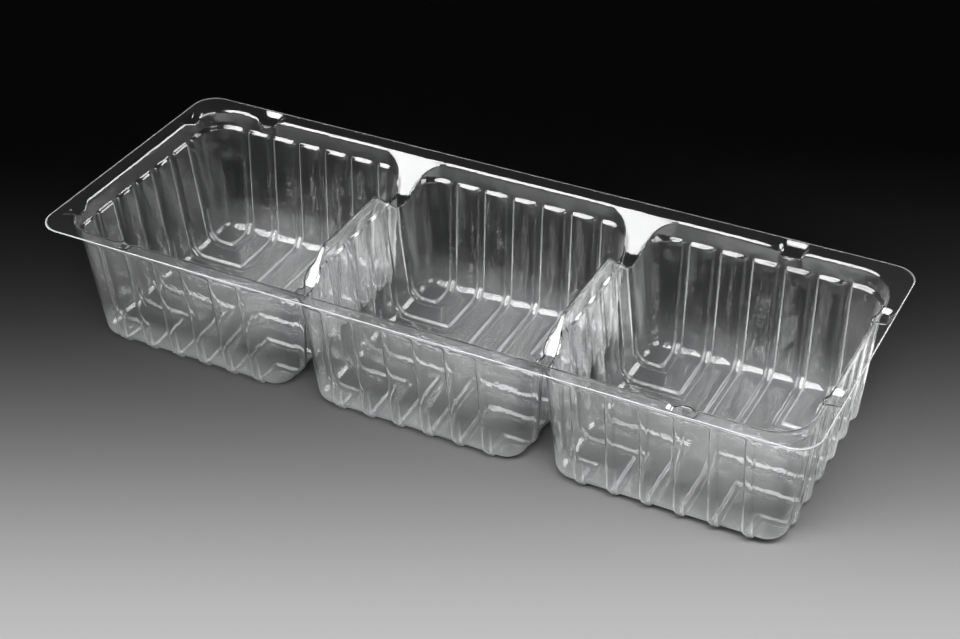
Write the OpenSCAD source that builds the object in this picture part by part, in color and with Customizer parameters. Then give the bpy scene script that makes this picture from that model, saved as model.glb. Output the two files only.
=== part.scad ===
// Three-compartment blister tray, thermoformed in one piece from clear sheet.
// room(0) is everything above the sheet. room(sheet) is the same form grown by the
// thickness of the sheet, and the tray is what lies between the two.

/* [Tray] */
// Length over the rim
tray_l = 240; // [225:1:270]
// Width over the rim
tray_w = 88; // [80:1:110]
// Height from the table to the top of the rim
tray_h = 44; // [36:1:60]
// Thickness of the formed sheet
sheet = 0.35; // [0.3:0.05:0.45]
// Number of compartments in a row
compartments = 3; // [2:1:3]

/* [Rim] */
// Width of the flat rim
rim_w = 4.2; // [3:0.1:5]
// Corner radius of the rim's outer edge
rim_r = 7; // [4:0.5:10]
// Height of the sloped edge between the rim and the wall
edge_h = 0.8; // [0.5:0.1:1.2]
// Angle of that edge and of the dividers' end ramps, from the level
ramp_angle = 47; // [40:1:55]

/* [Walls] */
// Corner radius of a compartment at the top of its wall
corner_r = 10.5; // [8:0.5:13]
// Depth of the plain band, from the rim down to the tops of the pads
band_d = 5.5; // [4:0.5:7]
// Draft of the plain band
band_draft = 8; // [5:0.5:10]
// Draft of the wall below the band
wall_draft = 5; // [3:0.5:6]
// Radius between a pad and the floor
floor_r = 4; // [3:0.5:6]

/* [Grooves] */
// Distance from one groove to the next
groove_pitch = 9.75; // [8:0.25:12]
// Depth of a groove between two raised pads
groove_d = 0.9; // [0.6:0.1:1.1]
// Width of a groove at its mouth
groove_mouth = 2.8; // [2.4:0.1:3.2]
// Width of a groove at its bottom
groove_bottom = 1.2; // [0.8:0.1:1.6]
// Rounding of the pads' upper corners
pad_round = 1.2; // [0.8:0.1:1.6]

/* [Dividers] */
// Width of the ridge between two compartments
ridge_w = 1; // [0.9:0.1:2]
// Depth of the ridge below the rim
ridge_d = 1.4; // [1.2:0.1:3]
// Length of the ridge along its top
ridge_l = 29.6; // [24:0.2:32]
// Depth of the dips at the ridge's two ends
dip_d = 10.3; // [8:0.1:11]
// Angle of the slope from the ridge down into a dip
ridge_slope = 44; // [42:1:55]

/* [Stacking lugs] */
// Depth of a lug's recess below the rim
lug_d = 1.8; // [1.2:0.1:2]
// Flat left between the tray's edge and a lug's recess
lug_edge = 0.4; // [0.2:0.1:0.8]
// Width of the lugs on the long sides
long_lug_w = 6.6; // [5:0.1:8]
// How far the lugs on the long sides stand out of the wall
long_lug_out = 2.3; // [1:0.1:2.4]
// Width of the lugs on the short sides
short_lug_w = 5.2; // [4:0.1:7]
// How far the lugs on the short sides stand out of the wall
short_lug_out = 1.5; // [1:0.1:1.9]
// Lugs of the long sides, outwards from the middle of the first compartment
first_lug = 16; // [8:0.5:18]
// Lugs of the long sides, outwards from the middle of the last compartment
last_lug = 7; // [0:0.5:18]
// Lugs of the left side, from the long edges of the tray
left_lug = 14.4; // [13:0.2:20]
// Lugs of the right side, from the long edges of the tray
right_lug = 24.4; // [20:0.2:32]

/* [Hidden] */
// Half sizes of a compartment at the top of its wall, and the pitch of the row
edge_w = edge_h / tan(ramp_angle);
wall_in = rim_w + edge_w;
half_y = tray_w / 2 - wall_in;
half_x = (tray_l - 2 * wall_in - (compartments - 1) * ridge_w) / (2 * compartments);
pitch_x = 2 * half_x + ridge_w;
end_x = (compartments - 1) * pitch_x / 2;
// Level of the sheet's top face in the floor grooves
groove_z = sheet - tray_h;
// How far the wall has come in at the bottom of the plain band
band_in = (band_d - edge_h) * tan(band_draft);
// Half widths of a groove, and how much wider it grows for each unit of thickness
mouth = groove_mouth / 2;
bottom = groove_bottom / 2;
run = mouth - bottom;
widen = (norm([run, groove_d]) - run) / groove_d;
// As many grooves as fit between the corners of the shorter wall, an even number
straight = min(half_x, half_y) - corner_r - mouth - pad_round - widen * sheet;
half_grooves = floor(straight / groove_pitch + 0.5);
grooves = 2 * half_grooves;
// A cut reaches this far past the rim
past = 1;
// A divider's ramp starts this little inside the line of the rim's edge, so that
// their faces never lie in one plane
hair = 0.02;
corner_steps = 5;
corner_n = corner_steps + 1;
side_n = 4 * grooves + corner_n;

// How far the wall has come in from its top edge at the height z, rim at 0
function wall_at(z) = z > -band_d
    ? (-z - edge_h) * tan(band_draft)
    : band_in + (-z - band_d) * tan(wall_draft);

// Wall profile as [in, height] points, from the rim to the floor. It stands in by d
// below the band: 0 in the grooves, groove_d on the pads.
function profile(d) = let (
        shoulder_z = -band_d - groove_d,
        low_z = shoulder_z - pad_round,
        r = floor_r + groove_d - d,
        centre_z = groove_z + d + r,
        top_z = centre_z - r * sin(wall_draft),
        centre_in = wall_at(top_z) + d + r * cos(wall_draft)
    ) [
        [-edge_w, 0],
        [0, -edge_h],
        [band_in, -band_d],
        [wall_at(shoulder_z) + d, shoulder_z],
        [wall_at(low_z) + d, low_z],
        for (a = [wall_draft, 45 + wall_draft / 2, 90])
            [centre_in - r * cos(a), a == 90 ? groove_z + d : centre_z - r * sin(a)]
    ];

// A path of [in, height] points moved square to itself by e, away from the room. It
// starts on a slope, and so ends up inside the rim, and it ends on a level.
function away(p, q) = let (v = (q - p) / norm(q - p)) [v[1], -v[0]];
function moved(path, e) = let (n = len(path) - 1) [
    for (i = [0 : n]) let (
            b = i == n ? [0, -1] : away(path[i], path[i + 1]),
            a = i == 0 ? b : away(path[i - 1], path[i])
        ) path[i] + e * (a + b) / (1 + a * b)
];

// Top of the room: past the rim, and inside the thickness of the rim once it is grown
function top_of(e) = e > 0 ? -e / 4 : past;

// A point on side s of a compartment, sides counted 0 to 3 around it
function at_side(s, along, out, z) = let (a = 90 * s)
    [out * cos(a) - along * sin(a), out * sin(a) + along * cos(a), z];
function out_of(s) = s % 2 == 0 ? half_x : half_y;
function along_of(s) = s % 2 == 0 ? half_y : half_x;

// The rounded corner after side s, where the wall has come in to p
function corner(s, p) = let (r = corner_r - p[0]) [
    for (i = [0 : corner_steps]) let (b = 90 * i / corner_steps)
        at_side(s, along_of(s) - corner_r + r * sin(b), out_of(s) - corner_r + r * cos(b), p[1])
];
function plain_ring(p) = [for (s = [0 : 3]) each corner(s, p)];

// A whole ring: pads at p, grooves at q, each groove m wide to a side at its mouth
// and b wide to a side at its bottom
function groove_at(i) = (i - (grooves - 1) / 2) * groove_pitch;
function full_ring(p, q, m, b) = [
    for (s = [0 : 3]) each concat(
        [for (i = [0 : grooves - 1]) let (c = groove_at(i), pad = out_of(s) - p[0])
            each [at_side(s, c - m, pad, p[1]), at_side(s, c - b, out_of(s) - q[0], q[1]),
                at_side(s, c + b, out_of(s) - q[0], q[1]), at_side(s, c + m, pad, p[1])]],
        corner(s, p))
];

// Bends of the floor grooves: a groove of side s meets one of the next side
function bends(p, q, m, b) = [
    for (s = [0 : 3], i = [half_grooves : grooves - 1]) let (c = groove_at(i))
        each [at_side(s, c - m, c - m, p[1]), at_side(s, c - b, c - b, q[1]),
            at_side(s, c + b, c + b, q[1]), at_side(s, c + m, c + m, p[1])]
];

// Faces between two rings of n points that start at u and at l, l the lower one
function band_faces(u, l, n) = [
    for (i = [0 : n - 1]) let (j = (i + 1) % n)
        each [[u + i, u + j, l + j], [u + i, l + j, l + i]]
];

// Faces between a plain ring at u and a whole ring at l
function joining_faces(u, l) = [
    for (s = [0 : 3]) let (
            left = u + ((s + 3) % 4) * corner_n + corner_steps,
            right = u + s * corner_n,
            low = l + s * side_n,
            low_left = l + ((s + 3) % 4) * side_n + side_n - 1,
            low_right = low + 4 * grooves,
            middle = low + 2 * grooves
        ) each concat(
            [[left, low, low_left], [left, right, middle]],
            [for (i = [low : middle - 1]) [left, i + 1, i]],
            [for (i = [middle : low_right - 1]) [right, i + 1, i]],
            [for (i = [0 : corner_steps - 1])
                each [[right + i, right + i + 1, low_right + i + 1],
                    [right + i, low_right + i + 1, low_right + i]]])
];

// Faces of the floor, from the last ring at l and the bends at b
function floor_faces(l, b) = let (last = grooves - 1) concat(
    [for (s = [0 : 3]) let (
            here = l + s * side_n,
            next = l + ((s + 1) % 4) * side_n,
            bend = b + s * 4 * half_grooves
        ) each concat(
            [for (i = [half_grooves : last], m = [0 : i == last ? 2 : 3]) let (
                    p = here + 4 * i + m,
                    q = bend + 4 * (i - half_grooves) + m,
                    r = next + 4 * (last - i) + 3 - m
                ) each [[p, p + 1, q + 1, q], [q, q + 1, r - 1, r]]],
            [concat([bend + 4 * half_grooves - 1, here + 4 * grooves - 1],
                [for (i = [0 : corner_steps]) here + 4 * grooves + i], [next])])],
    [[for (s = [0 : 3]) let (mid = l + s * side_n + 4 * half_grooves)
        each [mid - 1, mid, b + s * 4 * half_grooves]]]);

// The room inside one compartment, grown by e
module compartment(e) {
    pads = moved(profile(groove_d), e);
    base = moved(profile(0), e);
    last = len(pads) - 1;
    grown = widen * e;
    plain = concat(plain_ring([pads[0][0], top_of(e)]), plain_ring(pads[0]), plain_ring(pads[1]));
    // The grooves are wider where the pads' upper corners are rounded
    full = [
        for (k = [2 : last]) let (w = grown + (k == 2 ? pad_round : k == 3 ? pad_round * 0.4 : 0))
            each full_ring(pads[k], base[k], mouth + w, bottom + w)
    ];
    first_full = len(plain);
    ring_n = 4 * side_n;
    plain_n = 4 * corner_n;
    last_full = first_full + (last - 2) * ring_n;
    first_bend = first_full + len(full);
    polyhedron(
        points = concat(plain, full, bends(pads[last], base[last], mouth + grown, bottom + grown)),
        faces = concat(
            [[for (i = [plain_n - 1 : -1 : 0]) i]],
            band_faces(0, plain_n, plain_n),
            band_faces(plain_n, 2 * plain_n, plain_n),
            joining_faces(2 * plain_n, first_full),
            [for (k = [2 : last - 1]) let (u = first_full + (k - 2) * ring_n)
                each band_faces(u, u + ring_n, ring_n)],
            floor_faces(last_full, first_bend)),
        convexity = 12);
}

// The room above a divider: at each end of its ridge a slope, a dip and a ramp
module divider_room(e) {
    ramp_y = half_y + edge_w - hair;
    dip_y = ridge_l / 2 + (dip_d - ridge_d) / tan(ridge_slope);
    path = moved([
        [0, 0],
        [dip_d / tan(ramp_angle), -dip_d],
        [ramp_y - dip_y, -dip_d],
        [ramp_y - ridge_l / 2, -ridge_d],
        [ramp_y, -ridge_d]
    ], e);
    half = concat([[ramp_y - path[0][0], top_of(e)]], [for (p = path) [ramp_y - p[0], p[1]]]);
    other = [for (i = [len(half) - 2 : -1 : 0]) [-half[i][0], half[i][1]]];
    rotate([90, 0, 90])
        linear_extrude(2 * corner_r + ridge_w, center = true)
            polygon(concat(half, other));
}

// Recess of a lug, from the tray's edge across the rim, grown by e
module lug_recess(w, out, e) {
    far = wall_in + out + past;
    deep = lug_d + e;
    slope_in = lug_edge - e * (sqrt(2) - 1);
    grown = e * 0.75;
    hull() {
        translate([slope_in + lug_d, -w / 2 - grown, -deep])
            cube([far - slope_in - lug_d, w + 2 * grown, deep]);
        translate([slope_in - e / 2, -w / 2 - lug_d / 4 - grown, -e / 2])
            cube([far - slope_in, w + lug_d / 2 + 2 * grown, top_of(e) + e / 2]);
    }
}

// The lug below its recess, shrunk by e. Its round front leans back and dies away
// at the bottom of the plain band.
module lug_body(w, out, e) {
    r = (w * w / 4 + out * out) / (2 * out);
    translate([wall_in + out - r, 0, -band_d])
        cylinder(h = band_d - lug_d - e, r1 = r - out + band_in - e, r2 = r - e, $fn = 32);
}

module at_lugs(side, place, facing) {
    for (s = [-1, 1])
        translate(side == 0 ? [place, s * tray_w / 2, 0] : [side * tray_l / 2, s * place, 0])
            rotate(side == 0 ? -90 * s : facing)
                children();
}

// All eight recesses, or all eight bodies. They differ from end to end, so that a
// tray turned round stands on those of the tray below.
module lugs(e, recess) {
    for (x = [-end_x - first_lug, end_x + last_lug])
        at_lugs(0, x, 0)
            lug(long_lug_w, long_lug_out, e, recess);
    at_lugs(-1, tray_w / 2 - left_lug, 0)
        lug(short_lug_w, short_lug_out, e, recess);
    at_lugs(1, tray_w / 2 - right_lug, 180)
        lug(short_lug_w, short_lug_out, e, recess);
}

module lug(w, out, e, recess) {
    if (recess)
        lug_recess(w, out, e);
    else
        lug_body(w, out, e);
}

// Everything above the sheet, grown by e
module room(e) {
    difference() {
        for (i = [0 : compartments - 1])
            translate([i * pitch_x - end_x, 0, 0])
                compartment(e);
        lugs(e, false);
    }
    for (i = [1 : compartments - 1])
        translate([(i - 0.5) * pitch_x - end_x, 0, 0])
            divider_room(e);
    lugs(e, true);
}

module rim_plate() {
    translate([0, 0, -sheet])
        linear_extrude(sheet)
            offset(r = rim_r, $fn = 48)
                square([tray_l - 2 * rim_r, tray_w - 2 * rim_r], center = true);
}

module tray() {
    color([0.84, 0.88, 0.9, 0.45])
        translate([0, 0, tray_h])
            difference() {
                union() {
                    rim_plate();
                    room(sheet);
                }
                room(0);
            }
}

tray();
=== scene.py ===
# %% [markdown]
# # A clear blister tray
# Three compartments, a flat rim and two dividers, drawn out of one thin sheet of clear plastic over a mould. The
# whole object is one skin, so the lesson is about one skin: a plain form first, then the grooves that stiffen it,
# then its thickness, and last a clear finish that only shows through what it bends and mirrors.

# %% Load the frame
import math

import bpy
import numpy as np
from mathutils import Matrix, Vector


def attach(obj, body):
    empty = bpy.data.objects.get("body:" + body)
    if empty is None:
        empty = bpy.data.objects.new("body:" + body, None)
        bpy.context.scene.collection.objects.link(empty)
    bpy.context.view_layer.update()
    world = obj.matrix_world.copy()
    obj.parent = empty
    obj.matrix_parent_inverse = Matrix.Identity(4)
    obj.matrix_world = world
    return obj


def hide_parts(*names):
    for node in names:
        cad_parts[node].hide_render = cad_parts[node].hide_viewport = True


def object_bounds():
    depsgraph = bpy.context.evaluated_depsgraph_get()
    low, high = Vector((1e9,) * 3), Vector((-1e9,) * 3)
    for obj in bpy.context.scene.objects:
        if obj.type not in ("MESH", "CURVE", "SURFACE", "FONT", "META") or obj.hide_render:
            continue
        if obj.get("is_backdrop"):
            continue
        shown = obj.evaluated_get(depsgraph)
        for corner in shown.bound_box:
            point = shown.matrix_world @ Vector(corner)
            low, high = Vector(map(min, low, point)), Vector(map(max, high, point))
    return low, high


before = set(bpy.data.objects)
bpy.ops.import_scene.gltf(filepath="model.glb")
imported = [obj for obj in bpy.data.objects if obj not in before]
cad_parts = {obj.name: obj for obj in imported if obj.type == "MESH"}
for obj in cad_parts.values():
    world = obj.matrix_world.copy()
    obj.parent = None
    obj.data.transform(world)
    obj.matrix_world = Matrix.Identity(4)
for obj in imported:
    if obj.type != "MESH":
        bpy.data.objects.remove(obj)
solid_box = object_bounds()
MM = 0.001

# %% [markdown]
# The sizes come first, in millimetres and with the rim at height 0, because the mould was cut that way: every wall
# starts at the rim. A thermoformed wall always leans, or the tray would not leave its mould. The plain band under
# the rim leans 8 degrees and the wall below it 5.

# %% Sizes
LENGTH, WIDTH, HEIGHT, SHEET = 240.0, 88.0, 44.0, 0.35
RIM, RIM_R = 4.2, 7.0  # width of the flat rim, radius of its corners
EDGE_H, RAMP = 0.8, math.tan(math.radians(47))  # height and slope of the edge between rim and wall
CORNER_R, FLOOR_R = 10.5, 4.0  # radius of a compartment's corners, and of the fillet round its floor
BAND, BAND_LEAN, WALL_LEAN = 5.5, math.radians(8), math.radians(5)  # lower end of the plain band, both leans
PITCH, GROOVE, MOUTH, BOTTOM = 9.75, 0.9, 1.4, 0.6  # grooves: spacing, depth, half their mouth and half their bottom
RIDGE_W, RIDGE_D, RIDGE_L = 1.0, 1.4, 29.6  # a divider's ridge: width, depth under the rim, length
DIP, SLOPE = 10.3, math.tan(math.radians(44))  # depth of the dips beside the ridge, slope from ridge to dip
EDGE_W = EDGE_H / RAMP
WALL_IN = RIM + EDGE_W
HALF = np.array([(LENGTH - 2 * WALL_IN - 2 * RIDGE_W) / 6, WIDTH / 2 - WALL_IN])
STEP_X = 2 * HALF[0] + RIDGE_W
ARC = HALF - CORNER_R
BAND_IN = (BAND - EDGE_H) * math.tan(BAND_LEAN)
print("half a compartment at its rim:", HALF.round(3), "mm, from one to the next", round(STEP_X, 3))


def wall_in(z):
    """How far the plain wall has come in from its top edge at the height z."""
    upper = (-z - EDGE_H) * math.tan(BAND_LEAN)
    return np.where(z > -BAND, upper, BAND_IN + (-z - BAND) * math.tan(WALL_LEAN))


def crest(y):
    """Height of a divider's top: a ramp from the rim, a dip, a slope and the ridge."""
    y = np.abs(y)
    ramp = -(HALF[1] + EDGE_W - y) * RAMP
    slope = -RIDGE_D - np.maximum(y - RIDGE_L / 2, 0) * SLOPE
    return np.minimum(np.maximum(np.maximum(ramp, slope), -DIP), 0)


# %% [markdown]
# The stacking lugs keep a tray from sinking into the one below. Each is a small half-round tongue at the level of
# its recess in the rim, and the lugs of the two ends stand at different places, so that a turned tray rests on them.
# They are pressed into the skin by moving its points, which needs a few more columns of points where they stand.

# %% Lugs
LUG_D, LUG_EDGE = 1.8, 0.4  # depth of a lug under the rim, width of the rim that is left outside its recess
LUG_ZONE = 12.0  # a lug presses nothing that is further in than this
SIDES = (-1, 1)
SIDE_LUG, END_LUG = (6.6, 2.3), (5.2, 1.5)  # width of a lug, and its reach past the wall
SIDE_LUG_X = (-16.0, 7.0)  # from the middle of the left and of the right compartment
END_LUG_Y = (29.6, 19.6)  # from the middle of the left and of the right end
LUGS = [  # place on the tray's edge, the way in, width, reach
    ((middle + x, s * WIDTH / 2), (0, -s), *SIDE_LUG)
    for middle, x in zip((-STEP_X, STEP_X), SIDE_LUG_X) for s in SIDES] + [
    ((end * LENGTH / 2, s * y), (-end, 0), *END_LUG) for end, y in zip(SIDES, END_LUG_Y) for s in SIDES]
print("lugs:", len(LUGS))


def press_lugs(points, top):
    """Moves points of the rim and the band. top holds the point of the wall's top edge in each one's column."""
    out = points.copy()
    flank = LUG_D / 4
    for (cx, cy), (ix, iy), width, reach in LUGS:
        inward, along = np.array([ix, iy]), np.array([-iy, ix])
        rel, rel_top = points[..., :2] - (cx, cy), top[..., :2] - (cx, cy)
        across, depth, depth_top = rel_top @ along, rel @ inward, rel_top @ inward
        z = points[..., 2]
        on_rim = z > -EDGE_H - 1e-6
        across = np.where(on_rim & (depth < RIM), rel @ along, across)
        near = (np.abs(across) < width / 2 + 1) & (depth_top < LUG_ZONE) & (z > -BAND) & (depth > -1e-6)
        # The recess in the rim: level in the middle, with a flank at both sides and at its outer end
        side = np.clip((width / 2 + flank - np.abs(across)) / flank, 0, 1)
        end = np.clip((depth - LUG_EDGE) / LUG_D, 0, 1)
        low = -LUG_D + np.minimum(z + EDGE_H, 0) * (BAND - LUG_D) / (BAND - EDGE_H)
        new_z = z + side * end * (low - z)
        # The tongue: an arc that bulges past the wall and fades towards the band's lower end
        radius = (width * width / 4 + reach * reach) / (2 * reach)
        front = WALL_IN + reach - radius + np.sqrt(np.maximum(radius**2 - across**2, 0))
        bulge = np.maximum(front - depth_top, 0) * (np.abs(across) < width / 2)
        fade = np.where(on_rim, np.clip((depth - RIM) / (depth_top - RIM + 1e-9), 0, 1),
                        np.clip((new_z + BAND) / (BAND - LUG_D), 0, 1))
        moved = np.concatenate([points[..., :2] + (bulge * fade)[..., None] * inward, new_z[..., None]], -1)
        out = np.where(near[..., None], moved, out)
    return out


# %% [markdown]
# The plain form is a net of rows and columns, because the light that runs down a clear wall shows every point that
# is out of line. Each compartment is a ring of columns that runs down the wall, round the fillet and on to the
# floor, where the columns of opposite walls meet as the lines of one grid. The columns crowd where a groove or a lug
# will be.

# %% Columns
GROOVES = [PITCH * (k + 0.5) for k in range(3)]
BESIDE = (0, 0.6, 0.9, 1.17, 1.5)  # columns on both sides of a groove's middle
LUG_COLUMNS = (0, 0.9, 1.7, 2.4, 2.9, 3.3, 3.75, 4.2)  # and of a side lug's
END_COLUMNS = (0, 0.8, 1.5, 2.1, 2.6, 3.05, 3.5)  # and of an end lug's


def merged(values, gap):
    """Sorted values without those that crowd one another."""
    out = []
    for v in sorted(values):
        if not out or v - out[-1] > gap:
            out.append(v)
    return out


def lines(extra, limit):
    """Places of the columns along one wall, from the middle of a compartment to the start of its corner."""
    half = {g + s * b for g in GROOVES for b in BESIDE for s in SIDES} | {PITCH * k for k in (1, 2)}
    fixed = sorted({round(s * v, 4) for v in half for s in SIDES} | {0.0})
    more = [e for e in extra if min(abs(e - f) for f in fixed) > 0.3]
    out = np.array(merged(fixed + more, 0.2))
    return out[np.abs(out) < limit - 0.2]


side_lug = [s * v for v in LUG_COLUMNS for s in SIDES]
end_lug = [s * v for v in END_COLUMNS for s in SIDES]
X_LINES = [lines([SIDE_LUG_X[0] + v for v in side_lug], ARC[0]), lines([], ARC[0]),
           lines([SIDE_LUG_X[1] + v for v in side_lug], ARC[0])]
Y_LINES = lines([s * END_LUG_Y[1] + v for v in end_lug for s in SIDES], ARC[1])
PLAIN_ARC = [0, 5, 10.5, 18, 27, 36, 45, 54, 63, 72, 81, 90]
# The left end's lugs stand at the start of the corners, so those corners get columns at the lugs' places
past_start = [END_LUG_Y[0] + v - ARC[1] for v in end_lug]
LUG_ARC = merged(PLAIN_ARC + [math.degrees(math.asin(v / CORNER_R)) for v in past_start if 0.3 < v < CORNER_R], 1.2)
print("columns along the walls:", [len(v) for v in X_LINES], len(Y_LINES), "round a corner:", len(PLAIN_ARC))

# %% [markdown]
# A column is named by its side of the compartment (0 right, 1 back, 2 left, 3 front) and by its place along that
# side or its angle round the corner after it. One function turns such a name into points of the plan, so all three
# compartments and all their corners come from the same few lines.

# %% Rings of columns
def ring(cell):
    """Columns round compartment 0, 1 or 2: each one's side, its place along it and its angle round the corner."""
    out = []
    for side in range(4):
        places = Y_LINES if side % 2 == 0 else X_LINES[cell]
        places = places if side in (0, 3) else -places[::-1]
        out += [(side, a, None) for a in places]
        arc = PLAIN_ARC
        if cell == 0 and side == 2:
            arc = LUG_ARC
        if cell == 0 and side == 1:
            arc = [90 - b for b in LUG_ARC[::-1]]
        out += [(side, None, math.radians(b)) for b in arc]
    return out


def plan(column, come_in):
    """Where a column stands, and the way out of the compartment there, when the wall has come in so far."""
    side, a, b = column
    out_of, along_of = (HALF[0], HALF[1]) if side % 2 == 0 else (HALF[1], HALF[0])
    if b is None:
        out, along, way = out_of - come_in, np.full_like(come_in, a), (1.0, 0.0)
    else:
        r = CORNER_R - come_in
        out, along = out_of - CORNER_R + r * math.cos(b), along_of - CORNER_R + r * math.sin(b)
        way = (math.cos(b), math.sin(b))
    c, s = (1, 0, -1, 0)[side], (0, 1, 0, -1)[side]
    here = np.stack([out * c - along * s, out * s + along * c], -1)
    return here, np.array([way[0] * c - way[1] * s, way[0] * s + way[1] * c])


# %% [markdown]
# Down the wall the rows stand close together where the plain band ends and the pads begin, because the pads' upper
# corners are round there, and far apart on the straight wall below. The fillet takes seven steps of its own. A wall
# beside a divider starts where it meets the divider's crest.

# %% Rows
# Shares of the way from the wall's top to the first low row
UPPER = np.array([0, 0.04, 0.1, 0.18, 0.27, 0.355, 0.4, 0.42, 0.455, 0.49, 0.53, 0.58, 0.66, 0.8, 1.0])
LOW_ROWS = (-12.0, -21.0, -30.0)
FILLET = FLOOR_R + GROOVE
CENTRE_Z = SHEET - HEIGHT + FILLET
WALL_END = CENTRE_Z - FILLET * math.sin(WALL_LEAN)
CENTRE_IN = float(wall_in(np.array(WALL_END))) + FILLET * math.cos(WALL_LEAN)
TURNS = np.linspace(WALL_LEAN, math.pi / 2, 8)


def is_divider(cell, side):
    return (side == 0 and cell < 2) or (side == 2 and cell > 0)


def column_points(cell, column):
    """One column from the top of the wall to the edge of the floor's grid: its points, and the way its pads stand."""
    side, a, b = column
    beside = side if b is None or side % 2 == 0 else (side + 1) % 4
    top = -EDGE_H
    if is_divider(cell, beside):
        # The leaning wall meets the crest where both have the same height, which a few rounds find
        top = -1.0
        for _ in range(40):
            here, _way = plan(column, wall_in(np.array([top])))
            top = float(crest(here[0, 1]))
        top = min(top, -EDGE_H)
    z = np.concatenate([top + UPPER * (LOW_ROWS[0] - top), [*LOW_ROWS[1:], WALL_END]])
    come_in = wall_in(z)
    lean = np.where(z > -BAND, BAND_LEAN, WALL_LEAN)
    z = np.concatenate([z, CENTRE_Z - FILLET * np.sin(TURNS[1:]), [SHEET - HEIGHT]])
    come_in = np.concatenate([come_in, CENTRE_IN - FILLET * np.cos(TURNS[1:]), [CORNER_R]])
    lean = np.concatenate([lean, TURNS[1:], [math.pi / 2]])
    here, out = plan(column, come_in)
    push = np.stack([-out[0] * np.cos(lean), -out[1] * np.cos(lean), np.sin(lean)], -1)
    return np.column_stack([here, z]), push


print("rows of a column:", len(UPPER) + len(LOW_ROWS) + len(TURNS))

# %% [markdown]
# The parts of the net are joined by number. A table keeps the number of each point of a compartment's ring, the
# strip over a divider takes the top points of the two walls that it joins, and the rim takes the outermost points
# of all. Nothing has to be welded afterwards.

# %% Net of the plain form
class Net:
    """Points with their place in their compartment and the way that a pad is pushed there, and faces."""

    def __init__(self):
        self.points, self.push, self.cell, self.faces, self.n = [], [], [], [], 0

    def add(self, points, push=None, centre=0.0):
        """Adds points round a compartment's centre and gives back their numbers."""
        points = np.atleast_2d(points)
        self.points.append(points + (centre, 0, 0))
        self.cell.append(points.copy())
        self.push.append(np.zeros_like(points) if push is None else push)
        self.n += len(points)
        return np.arange(self.n - len(points), self.n)

    def grid(self, numbers, closed=False):
        """Faces of a table of point numbers, rows downwards and columns anticlockwise seen from above."""
        t = np.concatenate([numbers, numbers[:, :1]], 1) if closed else numbers
        quads = np.stack([t[:-1, :-1], t[:-1, 1:], t[1:, 1:], t[1:, :-1]], -1).reshape(-1, 4)
        self.faces += [tuple(int(i) for i in q) for q in quads]


net = Net()
rings, tables = [ring(cell) for cell in range(3)], []
for cell, columns in enumerate(rings):
    made = [column_points(cell, column) for column in columns]
    numbers = np.zeros((len(made[0][0]), len(columns)), int)
    for j, (points, push) in enumerate(made):
        numbers[:, j] = net.add(points, push, (cell - 1) * STEP_X)
    tables.append(numbers)
print("rings of the compartments:", net.n, "points")

# %% [markdown]
# A floor is a rectangle with round corners. Its middle is a grid whose lines go on from the walls' columns, so a
# groove can run down one wall and over the floor without a kink. In each corner all the columns end in one point, as
# a fan: the corner is flat there, and a fan on a flat place doesn't show.

# %% Floors
def picked(cell, side, arc):
    """Numbers of the ring's columns on one side, or round the corner after it."""
    return [j for j, c in enumerate(rings[cell]) if c[0] == side and (c[2] is not None) == arc]


def edge_of_floor(cell, table):
    """Closes the ring's last row: a fan in each corner and a strip along each side. Gives back the row's numbers."""
    last = table[-1].copy()
    for side in range(4):
        corner = picked(cell, side, True)
        fan, hub = table[-2][corner], last[corner[0]]
        net.faces += [(int(fan[i]), int(fan[i + 1]), int(hub)) for i in range(len(corner) - 1)]
        last[corner] = hub
    for side in range(4):
        run = [picked(cell, (side + 3) % 4, True)[-1], *picked(cell, side, False), picked(cell, side, True)[0]]
        net.grid(np.array([table[-2][run], last[run]]))
    return last


for cell, table in enumerate(tables):
    net.grid(table[:-1], closed=True)
    last = edge_of_floor(cell, table)
    right, back, left, front = (last[picked(cell, side, False)] for side in range(4))
    hubs = [last[picked(cell, side, True)[0]] for side in range(4)]
    ys, xs = Y_LINES, X_LINES[cell]
    floor_grid = np.zeros((len(ys) + 2, len(xs) + 2), int)
    floor_grid[1:-1, -1], floor_grid[1:-1, 0] = right, left[::-1]
    floor_grid[-1, 1:-1], floor_grid[0, 1:-1] = back[::-1], front
    floor_grid[-1, -1], floor_grid[-1, 0], floor_grid[0, 0], floor_grid[0, -1] = hubs
    inner = np.array([[(x, y, SHEET - HEIGHT) for x in xs] for y in ys]).reshape(-1, 3)
    up = np.tile([0.0, 0.0, 1.0], (len(inner), 1))
    floor_grid[1:-1, 1:-1] = net.add(inner, up, (cell - 1) * STEP_X).reshape(len(ys), len(xs))
    net.grid(floor_grid)
print("compartments:", net.n, "points,", len(net.faces), "faces")

# %% [markdown]
# A divider is the fold between two compartments. On the real tray it is a thin ridge in the middle, which dips and
# widens into a flat ramp where the round corners of the two compartments part. A strip of nine points across joins
# the two walls' tops. Its outer rows keep to a fixed distance from them, so that the fold's edges stay narrow.

# %% Divider strips
ACROSS = 9


def all_points():
    return np.concatenate(net.points)


def shares_across(width):
    """Where the strip's inner points stand between its two edges, from 0 to 1."""
    w = width / 2
    first, second = min(0.45, 0.25 * w), min(1.0, 0.5 * w)
    half = [first, second, (second + w) / 2, w]
    return np.array(half + [2 * w - v for v in half[-2::-1]]) / (2 * w)


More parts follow.
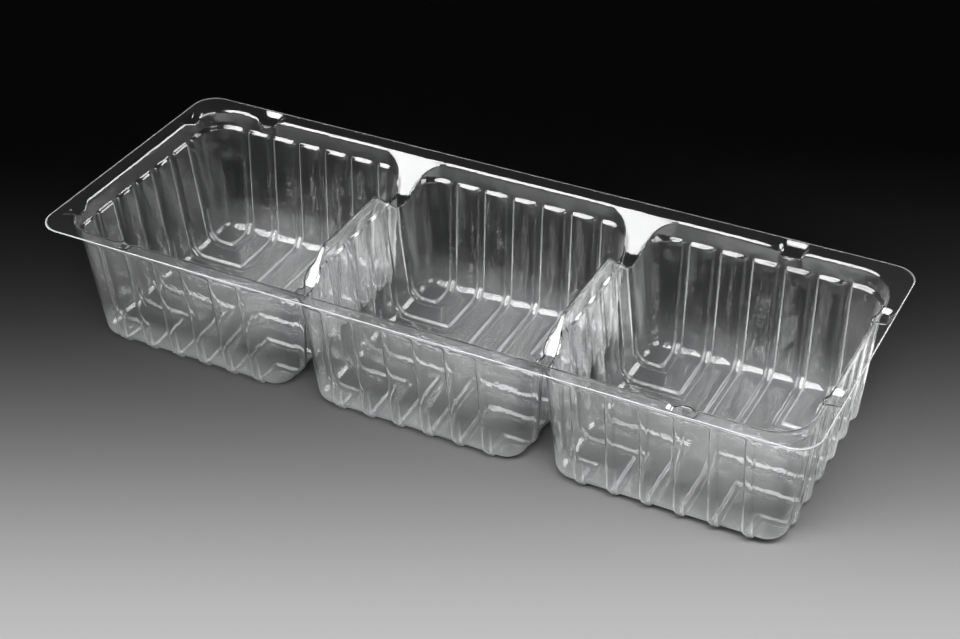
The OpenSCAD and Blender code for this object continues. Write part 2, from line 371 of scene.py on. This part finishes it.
strips = []
for cell in range(2):
    left_js = picked(cell, 3, True) + picked(cell, 0, False) + picked(cell, 0, True)
    right_js = (picked(cell + 1, 1, True) + picked(cell + 1, 2, False) + picked(cell + 1, 2, True))[::-1]
    have = all_points()
    strip = np.zeros((len(left_js), ACROSS), int)
    strip[:, 0], strip[:, -1] = tables[cell][0][left_js], tables[cell + 1][0][right_js]
    for row in strip:
        start, over = have[row[0]], have[row[-1]] - have[row[0]]
        row[1:-1] = net.add(start + shares_across(np.linalg.norm(over))[:, None] * over)
    net.grid(strip)
    strips.append(strip)
print("divider strips:", [strip.shape for strip in strips])

# %% [markdown]
# The rim is one closed loop round everything. It starts at the walls' tops, goes up the sloped edge and out to the
# tray's edge. Each point goes straight out from its wall, or out of the corner's centre, so the rows stay parallel.

# %% Rim
RIM_ROWS = (0, 0.11, 0.24, 0.4, 0.52, 0.62, 0.74, 0.86, 0.91, 1.0)  # shares of the flat rim's width
rim_loop = []
for cell in range(3):
    start = [picked(cell, 2, True)[-1]] if cell > 0 else []
    end = [picked(cell, 3, True)[0]] if cell < 2 else []
    rim_loop += list(tables[cell][0][start + picked(cell, 3, False) + end])
    if cell < 2:
        rim_loop += list(strips[cell][0][1:-1])
rim_loop += list(tables[2][0][picked(2, 3, True) + picked(2, 0, False) + picked(2, 0, True)])
for cell in (2, 1, 0):
    start = [picked(cell, 0, True)[-1]] if cell < 2 else []
    end = [picked(cell, 1, True)[0]] if cell > 0 else []
    rim_loop += list(tables[cell][0][start + picked(cell, 1, False) + end])
    if cell > 0:
        rim_loop += list(strips[cell - 1][-1][1:-1][::-1])
rim_loop += list(tables[0][0][picked(0, 1, True) + picked(0, 2, False) + picked(0, 2, True)])

top = all_points()[rim_loop]
corner_centre = np.array([LENGTH / 2 - RIM_R, WIDTH / 2 - RIM_R])
arc_centre = np.array([STEP_X + ARC[0], ARC[1]])
way, outer = np.zeros((len(top), 2)), np.zeros((len(top), 2))
for i, point in enumerate(top):
    sx, sy = math.copysign(1, point[0]), math.copysign(1, point[1])
    rel = np.abs(point[:2]) - arc_centre
    if rel[0] > -1e-6 and rel[1] > -1e-6:
        outwards = np.maximum(rel, 0) / np.linalg.norm(np.maximum(rel, 0))
        outer[i] = (corner_centre + RIM_R * outwards) * (sx, sy)
    elif rel[0] > rel[1]:
        outwards, outer[i] = np.array([1.0, 0.0]), (sx * LENGTH / 2, point[1])
    else:
        outwards, outer[i] = np.array([0.0, 1.0]), (point[0], sy * WIDTH / 2)
    way[i] = outwards * (sx, sy)
edge_line = top[:, :2] + way * EDGE_W
rows = [top, np.column_stack([top[:, :2] + way * EDGE_W / 2, np.full(len(top), -EDGE_H / 2)])]
rows += [np.column_stack([edge_line + (outer - edge_line) * d, np.zeros(len(top))]) for d in RIM_ROWS]
rim_numbers = np.array([rim_loop] + [net.add(row) for row in rows[1:]])
net.grid(rim_numbers[::-1], closed=True)
print("the whole plain form:", net.n, "points,", len(net.faces), "faces")

# %% [markdown]
# Now the lugs are pressed in and the net becomes a mesh. Three notes stay on its points for the steps to come: the
# way that a pad is pushed there, the point's place in its compartment, and which points are the cut edge.

# %% Press the lugs
points, push, place = all_points(), np.concatenate(net.push), np.concatenate(net.cell)
column_top = points.copy()
for numbers in tables + [rim_numbers]:
    column_top[numbers] = points[numbers[0]][None]
points = press_lugs(points, column_top)

used = sorted({i for face in net.faces for i in face})
renumber = {old: new for new, old in enumerate(used)}
skin = bpy.data.meshes.new("tray")
skin.from_pydata((points[used] + (0, 0, HEIGHT)) * MM, [], [[renumber[i] for i in face] for face in net.faces])


def note(name, values):
    """Writes one number or vector for each point of the skin."""
    kind, key = ("FLOAT_VECTOR", "vector") if values.ndim == 2 else ("FLOAT", "value")
    skin.attributes.new(name, kind, "POINT").data.foreach_set(key, values.ravel())


note("push", push[used])
note("place", place[used])
note("hold", np.isin(np.array(used), rim_numbers[-1]).astype(float))
skin.validate()
skin.update()
tray = bpy.data.objects.new("tray_skin", skin)
bpy.context.scene.collection.objects.link(tray)
print("skin:", len(skin.vertices), "points,", len(skin.polygons), "faces")

# %% [markdown]
# The stiffening grooves follow one rule over all three compartments: seen from above they run at fixed distances
# from the two middle lines, down the walls and on over the floor, where each turns towards its neighbour wall. A
# rule like that is made best by a Geometry Nodes tree, which lifts the pads between the grooves off the plain form.
# Two small classes let the tree's arithmetic be written as Python arithmetic, here and in the materials.

# %% Wires and boards
class Wire:
    """A socket that can stand in a Python expression. Each operation adds its Math node."""

    def __init__(self, board, socket):
        self.board, self.socket = board, socket

    def math(self, operation, *others, first=None):
        values = (self if first is None else first,) + others + ((self,) if first is not None else ())
        return self.board.node("ShaderNodeMath", {"operation": operation}, dict(enumerate(values)))

    def __add__(self, other): return self.math("ADD", other)
    def __radd__(self, other): return self.math("ADD", first=other)
    def __sub__(self, other): return self.math("SUBTRACT", other)
    def __rsub__(self, other): return self.math("SUBTRACT", first=other)
    def __mul__(self, other): return self.math("MULTIPLY", other)
    def __rmul__(self, other): return self.math("MULTIPLY", first=other)
    def __truediv__(self, other): return self.math("DIVIDE", other)
    def __pow__(self, other): return self.math("POWER", other)
    def __neg__(self): return self.math("MULTIPLY", -1.0)
    def __abs__(self): return self.math("ABSOLUTE")
    def at_least(self, other): return self.math("MAXIMUM", other)
    def at_most(self, other): return self.math("MINIMUM", other)
    def share(self): return self.at_least(0.0).at_most(1.0)  # kept between 0 and 1


class Board:
    """A node tree that grows by one method."""

    def __init__(self, tree):
        self.tree = tree

    def put(self, socket, value):
        if isinstance(value, Wire):
            self.tree.links.new(value.socket, socket)
        else:
            socket.default_value = value

    def node(self, kind, settings=None, sockets=None, out=0):
        """Adds a node and gives back the wire of one output, or the node itself where out is None."""
        new = self.tree.nodes.new(kind)
        for name, value in (settings or {}).items():
            setattr(new, name, value)
        for name, value in (sockets or {}).items():
            self.put(new.inputs[name], value)
        if out is None:
            return new
        return Wire(self, new.outputs[out])


# %% Tree of the pads
tree = bpy.data.node_groups.new("pads_between_grooves", "GeometryNodeTree")
tree.interface.new_socket("Geometry", in_out="OUTPUT", socket_type="NodeSocketGeometry")
tree.interface.new_socket("Geometry", in_out="INPUT", socket_type="NodeSocketGeometry")
pad_inputs = {"Groove pitch": PITCH, "Groove count": 3.0, "Groove depth": GROOVE, "Bottom half": BOTTOM,
              "Flank": MOUTH - BOTTOM + 0.05, "Band": BAND, "Turn": 1.3, "Corner round": 1.2,
              "Fillet height": CENTRE_Z - FILLET * 0.62, "Fillet fade": 0.75}
for name, value in pad_inputs.items():
    tree.interface.new_socket(name, in_out="INPUT", socket_type="NodeSocketFloat").default_value = value
tree.interface.new_socket("Crease rounds", in_out="INPUT", socket_type="NodeSocketInt").default_value = 3
tree.interface.new_socket("Material", in_out="INPUT", socket_type="NodeSocketMaterial")
pads = Board(tree)
given = {socket.name: Wire(pads, socket) for socket in pads.node("NodeGroupInput", out=None).outputs if socket.name}
VECTOR, NUMBER = {"data_type": "FLOAT_VECTOR"}, {"data_type": "FLOAT"}
place_wire = pads.node("GeometryNodeInputNamedAttribute", VECTOR, {"Name": "place"})
push_wire = pads.node("GeometryNodeInputNamedAttribute", VECTOR, {"Name": "push"})
soften_wire = pads.node("GeometryNodeInputNamedAttribute", NUMBER, {"Name": "soften"})
parts = pads.node("ShaderNodeSeparateXYZ", None, {0: place_wire}, out=None)
x, y, z = (Wire(pads, part) for part in parts.outputs)

# %% [markdown]
# The rule in numbers: the smaller of the two distances to the middle lines says which groove is nearest, and a
# smooth minimum rounds the grooves' turns on the floor. From the groove's bottom the pad rises over its flank with a
# soft start and end, and its upper corners are round. Where a groove passes the fillet it is shallower.

# %% Lift of the pads
FILLET_REACH = 0.8  # mm above and below the fillet's middle
BEND_PEAK = 6.75  # brings the highest value of ramp * ramp * (1 - ramp) to 1
pitch, corner_round = given["Groove pitch"], given["Corner round"]
from_middle = abs(x).math("SMOOTH_MIN", abs(y), given["Turn"])
last_groove = pitch * (given["Groove count"] - 0.5)
nearest = (from_middle / pitch).math("FLOOR") * pitch + pitch * 0.5
from_groove = abs(from_middle - nearest.at_most(last_groove))
sideways = (corner_round - (from_groove - given["Bottom half"])).at_least(0.0)
downwards = (corner_round - (-z - given["Band"])).at_least(0.0)
inside = corner_round - (sideways * sideways + downwards * downwards).math("SQRT")
ramp = (inside / given["Flank"]).share()
at_fillet = (z - given["Fillet height"]) / FILLET_REACH
fade = 1.0 - given["Fillet fade"] * (-(at_fillet * at_fillet)).math("EXPONENT")
lift = given["Groove depth"] * (1.0 - (1.0 - ramp * ramp * (3.0 - 2.0 * ramp)) * fade)
bend = ramp * ramp * (1.0 - ramp) * BEND_PEAK
offset = pads.node("ShaderNodeVectorMath", {"operation": "SCALE"}, {0: push_wire, "Scale": lift * MM})
marked = pads.node("GeometryNodeStoreNamedAttribute", {**NUMBER, "domain": "POINT"},
                   {"Geometry": given["Geometry"], "Name": "bend", "Value": bend})
padded = pads.node("GeometryNodeSetPosition", None, {"Geometry": marked, "Offset": offset})
print("nodes for the pads:", len(tree.nodes))

# %% [markdown]
# Warm plastic doesn't follow a sharp crease of the mould: it spans it with a small radius. A blur of the points'
# places does the same to the net, but it would also shrink the tray, so only the part of the shift along the normal
# is used, and only at the points that are marked soft.

# %% Rounded creases in the same tree
position = pads.node("GeometryNodeInputPosition")
normal = pads.node("GeometryNodeInputNormal")
even = pads.node("GeometryNodeBlurAttribute", VECTOR,
                 {"Value": position, "Iterations": given["Crease rounds"], "Weight": soften_wire})
shift = pads.node("ShaderNodeVectorMath", {"operation": "SUBTRACT"}, {0: even, 1: position})
along_normal = pads.node("ShaderNodeVectorMath", {"operation": "DOT_PRODUCT"}, {0: shift, 1: normal}, out="Value")
crease = pads.node("ShaderNodeVectorMath", {"operation": "SCALE"}, {0: normal, "Scale": along_normal * soften_wire})
rounded = pads.node("GeometryNodeSetPosition", None, {"Geometry": padded, "Offset": crease})
# The rim's flat top stays the highest place of the sheet
parts = pads.node("ShaderNodeSeparateXYZ", None, {0: position}, out=None)
px, py, pz = (Wire(pads, part) for part in parts.outputs)
lowered = pads.node("ShaderNodeCombineXYZ", None, {"X": px, "Y": py, "Z": pz.at_most(HEIGHT * MM)})
rounded = pads.node("GeometryNodeSetPosition", None, {"Geometry": rounded, "Position": lowered})
smooth = pads.node("GeometryNodeSetShadeSmooth", None, {"Geometry": rounded})
real = pads.node("GeometryNodeRealizeInstances", None, {"Geometry": smooth})
finished = pads.node("GeometryNodeSetMaterial", None, {"Geometry": real, "Material": given["Material"]})
pads.node("NodeGroupOutput", None, {"Geometry": finished}, out=None)
print("nodes in the whole tree:", len(tree.nodes))

# %% [markdown]
# Last comes the thickness. The net is the sheet's upper face, and Solidify lays the lower one a third of a
# millimetre under it, so light is bent twice as in the real sheet. The narrow band between the two faces is where the
# punch cut the tray out, and Solidify can give that band a material of its own. The result is then kept as a plain
# mesh, and the notes that only the tree needed are taken off.

# %% Finished skin
soft = np.where(place[:, 2] > -BAND + 0.3, 1.0, 0.0)
soft[rim_numbers[-2:]] = 0.0
note("soften", soft[used])
clear, cut = bpy.data.materials.new("clear_sheet"), bpy.data.materials.new("cut_edge")
relief = tray.modifiers.new("pads", "NODES")
relief.node_group = tree
for item in tree.interface.items_tree:
    if item.in_out == "INPUT" and item.name in pad_inputs:
        relief[item.identifier] = pad_inputs[item.name]
    if item.in_out == "INPUT" and item.name == "Material":
        relief[item.identifier] = clear
thick = tray.modifiers.new("sheet", "SOLIDIFY")
thick.thickness, thick.offset, thick.use_even_offset = (SHEET - 0.005) * MM, -1, True
thick.material_offset_rim = 1
tray.data.materials.append(clear)
tray.data.materials.append(cut)
ready = bpy.data.meshes.new_from_object(tray.evaluated_get(bpy.context.evaluated_depsgraph_get()))
tray.modifiers.clear()
tray.data = ready
tray.name = "clear_tray"
for name in ("push", "place", "soften"):
    if name in ready.attributes:
        ready.attributes.remove(ready.attributes[name])
triangles = sum(len(polygon.vertices) - 2 for polygon in ready.polygons)
print("finished sheet:", triangles, "triangles, box", [round(v / MM, 3) for v in tray.dimensions])
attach(tray, "root")
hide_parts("tray")

# %% [markdown]
# The camera stands where the photograph was taken from: to the right of the middle, looking down by 36 degrees and
# turned a little about its own line of sight, because the tray's uprights lean in the picture. Its numbers were
# fitted to points of the rim and the floor.

# %% Camera
scene = bpy.context.scene
PHOTO_WIDTH, FOCAL_PIXELS, SENSOR = 960, 1815.77, 36.0
centre = Vector((0.02031, -0.02919, HEIGHT * MM))
turn, down, tilt, reach = math.radians(29.0), math.radians(35.71), math.radians(-1.97), 0.48986
towards_eye = Vector((math.sin(turn) * math.cos(down), -math.cos(turn) * math.cos(down), math.sin(down)))
camera = bpy.data.objects.new("camera", bpy.data.cameras.new("camera"))
scene.collection.objects.link(camera)
camera.data.sensor_width, camera.data.lens = SENSOR, SENSOR * FOCAL_PIXELS / PHOTO_WIDTH
untilted = (-towards_eye).to_track_quat("-Z", "Y").to_matrix().to_4x4()
camera.matrix_world = Matrix.Translation(centre + towards_eye * reach) @ untilted @ Matrix.Rotation(tilt, 4, "Z")
scene.camera = camera
print("camera at", [round(v, 4) for v in camera.matrix_world.translation])

# %% [markdown]
# Clear plastic has no colour of its own to paint. What the eye sees is the light that it bends and the things that
# it mirrors, so the finish is glass with the plastic's own index, 1.57, and a sheet as thin as the real one. Drawn
# sheet is never quite flat: a slow wave from the mould and faint draw lines down the walls break up the mirrors.

# %% Clear sheet
INDEX = 1.57


def empty_board(data):
    """The board of a material or lamp, with its first nodes taken off."""
    data.use_nodes = True
    data.node_tree.nodes.clear()
    return Board(data.node_tree)


sheet_board = empty_board(clear)
at = sheet_board.node("ShaderNodeTexCoord", out="Object")


def noise(scale, detail, rough=0.5, vector=at):
    """Soft noise with blotches about 1/scale metres across."""
    return sheet_board.node("ShaderNodeTexNoise", None,
                            {"Vector": vector, "Scale": scale, "Detail": detail, "Roughness": rough})


wave = noise(55.0, 2.0)
ripple = noise(260.0, 2.0, 0.6)
drawn = sheet_board.node("ShaderNodeMapping", None, {"Vector": at, "Scale": (1.0, 1.0, 0.12)})
streak = noise(420.0, 1.0, 0.5, drawn)
unevenness = wave * 0.0007 + ripple * 0.00006 + streak * 0.000004  # metres
bump = sheet_board.node("ShaderNodeBump", None, {"Strength": 1.0, "Distance": 1.0, "Height": unevenness},
                        out="Normal")
sheet = sheet_board.node("ShaderNodeBsdfPrincipled", None, {
    "Base Color": (0.99, 0.995, 0.997, 1), "Transmission Weight": 1.0, "IOR": INDEX,
    "Roughness": 0.015 + 0.05 * noise(120.0, 3.0) ** 2, "Normal": bump})

# %% [markdown]
# Where the sheet is drawn over an edge of the mould it whitens a little, and the whole of it carries a trace of
# haze, most of all down at the floors. Both are a thin share of a milky finish mixed into the clear one. The tree
# left a mark at each bend for it, and the points of the cut edge carry theirs from the net.

# %% Haze and whitened bends
HAZE_ALL, HAZE_DEEP = 0.008, 0.18  # shares everywhere, and more down at the floors
HAZE_BEND, HAZE_DEEP_BEND, HAZE_EDGE = 0.012, 0.35, 0.45
milky = sheet_board.node("ShaderNodeBsdfPrincipled", None, {
    "Base Color": (0.9, 0.92, 0.93, 1), "Roughness": 0.5, "IOR": INDEX, "Normal": bump})
bends = sheet_board.node("ShaderNodeAttribute", {"attribute_name": "bend"}, out="Fac")
rim_line = sheet_board.node("ShaderNodeAttribute", {"attribute_name": "hold"}, out="Fac")
above_floor = sheet_board.node("ShaderNodeSeparateXYZ", None, {0: at}, out="Z")
deep = ((0.014 - above_floor) / 0.012).share()  # grows from 14 mm over the ground down to 2
cloud = 0.6 + 0.8 * noise(90.0, 3.0)
haze = (HAZE_ALL + HAZE_DEEP * deep + (HAZE_BEND + HAZE_DEEP_BEND * deep) * bends) * cloud + HAZE_EDGE * rim_line
mixed = sheet_board.node("ShaderNodeMixShader", None, {0: haze, 1: sheet, 2: milky})
sheet_board.node("ShaderNodeOutputMaterial", None, {"Surface": mixed}, out=None)
print("clear sheet:", len(clear.node_tree.nodes), "nodes")

# %% [markdown]
# The punch leaves a rough edge that scatters light instead of passing it. It is only a third of a millimetre wide,
# but it draws the tray's outline in the photograph, so it gets a plain grey finish with a fine grain.

# %% Cut edge
edge_board = empty_board(cut)
edge_place = edge_board.node("ShaderNodeTexCoord", out="Object")
grain = edge_board.node("ShaderNodeTexNoise", None, {"Vector": edge_place, "Scale": 900.0})
frosted = edge_board.node("ShaderNodeBsdfPrincipled", None, {
    "Base Color": (0.32, 0.33, 0.34, 1), "Roughness": 0.35 + 0.3 * grain, "IOR": INDEX})
edge_board.node("ShaderNodeOutputMaterial", None, {"Surface": frosted}, out=None)
print("cut edge:", len(cut.node_tree.nodes), "nodes")

# %% [markdown]
# A clear object shows what stands round it, so the floor matters twice: straight, and in the tray's mirrors. The
# floor is one plain pale grey. In mirrors alone it also glows a little, by Light Path's Glossy Depth, more in front
# of the tray and to its right, because the photographed tray mirrors something brighter there than the floor that
# the picture shows.

# %% Floor
FLOOR_HALF = 4.0  # metres
GLOW_ALL, GLOW_BACK_HALF, GLOW_FRONT, GLOW_BEHIND = 0.04, 0.25, 1.0, 0.65
scene.view_settings.view_transform = "Standard"
floor_mesh = bpy.data.meshes.new("floor")
floor_corners = [(-1, -1), (1, -1), (1, 1), (-1, 1)]
floor_mesh.from_pydata([(FLOOR_HALF * u, FLOOR_HALF * v, 0) for u, v in floor_corners], [], [(0, 1, 2, 3)])
floor = bpy.data.objects.new("floor", floor_mesh)
scene.collection.objects.link(floor)
floor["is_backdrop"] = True
pale = bpy.data.materials.new("pale_floor")
floor_mesh.materials.append(pale)
floor_board = empty_board(pale)
matt = floor_board.node("ShaderNodeBsdfPrincipled", None, {
    "Base Color": (0.62, 0.62, 0.62, 1), "Roughness": 0.9, "Specular IOR Level": 0.0})
in_mirrors = floor_board.node("ShaderNodeLightPath", out="Glossy Depth").at_most(1.0)
floor_place = floor_board.node("ShaderNodeTexCoord", out="Object")
parts = floor_board.node("ShaderNodeSeparateXYZ", None, {0: floor_place}, out=None)
along_x, along_y = Wire(floor_board, parts.outputs[0]), Wire(floor_board, parts.outputs[1])
to_the_right = (1.05 + 4.2 * along_x).at_least(0.45).at_most(1.6)
in_front = ((-0.035 - along_y) / 0.05).share()  # grows from 35 to 85 mm in front of the middle
behind = ((along_y - 0.036) / 0.008).share() * ((0.075 - along_y) / 0.02).share()  # a band 36 to 75 mm behind it
back_half = (along_y / 0.004).share()
glow = floor_board.node("ShaderNodeEmission", None, {
    "Color": (1, 1, 1, 1), "Strength": in_mirrors * to_the_right * (
        GLOW_ALL + GLOW_BACK_HALF * back_half + GLOW_FRONT * in_front + GLOW_BEHIND * behind)})
both = floor_board.node("ShaderNodeAddShader", None, {0: matt, 1: glow})
floor_board.node("ShaderNodeOutputMaterial", None, {"Surface": both}, out=None)
print("floor:", len(pale.node_tree.nodes), "nodes")

# %% [markdown]
# The photograph's background fades from pale in front to black behind. Two long lamps that shine straight down do
# that, one low over the picture's lower edge and one high above the camera, and neither shows in a mirror. Their
# spread sets how fast the light falls off. The room itself is almost dark.

# %% Lamps of the floor
ALMOST_BLACK = (0.0027, 0.0027, 0.0029, 1)
world = bpy.data.worlds.new("dark_room")
scene.world = world
world.use_nodes = True
world.node_tree.nodes["Background"].inputs["Color"].default_value = ALMOST_BLACK


def soft_light(name, place, aim, size, power, in_mirrors=True, spread=180.0):
    """A rectangular lamp at a place in metres, turned towards a point."""
    lamp = bpy.data.lights.new(name, "AREA")
    lamp.shape, lamp.size, lamp.size_y, lamp.energy = "RECTANGLE", size[0], size[1], power
    lamp.spread = math.radians(spread)
    light = bpy.data.objects.new(name, lamp)
    scene.collection.objects.link(light)
    light.location = place
    light.rotation_euler = (Vector(aim) - Vector(place)).to_track_quat("-Z", "Y").to_euler()
    light.visible_camera = False
    light.visible_glossy = light.visible_transmission = in_mirrors
    print(name, "radiance", round(power / (math.pi * size[0] * size[1]), 2))
    return light


ahead = Vector((-math.sin(turn), math.cos(turn), 0))
foot = Vector((towards_eye.x * reach + centre.x, towards_eye.y * reach + centre.y, 0))
LONG_LAMP = (0.9, 0.03)
for name, away, up, power, spread in (
        ("floor_strip", 0.3121, 0.1059, 0.27, 135.0),
        ("floor_front", -0.0704, 1.0, 1.58, 56.2)):
    stand = foot + ahead * away + Vector((0, 0, up))
    light = soft_light(name, stand, stand - Vector((0, 0, 1)), LONG_LAMP, power, in_mirrors=False, spread=spread)
    light.rotation_euler = (0, 0, turn + tilt / math.sin(down))

# %% [markdown]
# The tray gets its highlights from three large cards: a window to the front left, where everything that faces
# forwards and up mirrors it, one card to the right and one far behind on the right. They are linked to the tray
# alone, so that the floor keeps its fade, and they don't shine on the floor by way of the sheet either.

# %% Cards round the tray
def only_on_the_tray(light):
    """Lets a lamp show in mirrors and through the sheet, but not light the floor by way of the sheet."""
    lamp_board = empty_board(light.data)
    path = lamp_board.node("ShaderNodeLightPath", out="Diffuse Depth")
    shine = lamp_board.node("ShaderNodeEmission", None, {"Strength": path.math("LESS_THAN", 0.5)})
    lamp_board.node("ShaderNodeOutputLight", None, {"Surface": shine}, out=None)
    light.light_linking.receiver_collection = lit_by_cards


lit_by_cards = bpy.data.collections.new("lit_by_cards")
lit_by_cards.objects.link(tray)
for name, stand, aim, size, power in (
        ("window", (-0.38, -0.56, 0.60), (-0.02, 0.02, 0.02), (0.9, 0.75), 21.0),
        ("side_card", (0.70, -0.42, 0.42), (0, 0, 0.02), (0.5, 0.5), 5.0),
        ("far_card", (0.47, 0.66, 0.43), (0, 0, 0.02), (0.45, 0.4), 4.5)):
    only_on_the_tray(soft_light(name, stand, aim, size, power))

# %% [markdown]
# At the end the two boxes are printed, the solid model's and the finished skin's. The skin has to stay inside the
# solid model's box.

# %% Finish
for what, box in (("solid", solid_box), ("skin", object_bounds())):
    print(what, "from", [round(v / MM, 3) for v in box[0]], "to", [round(v / MM, 3) for v in box[1]], "mm")
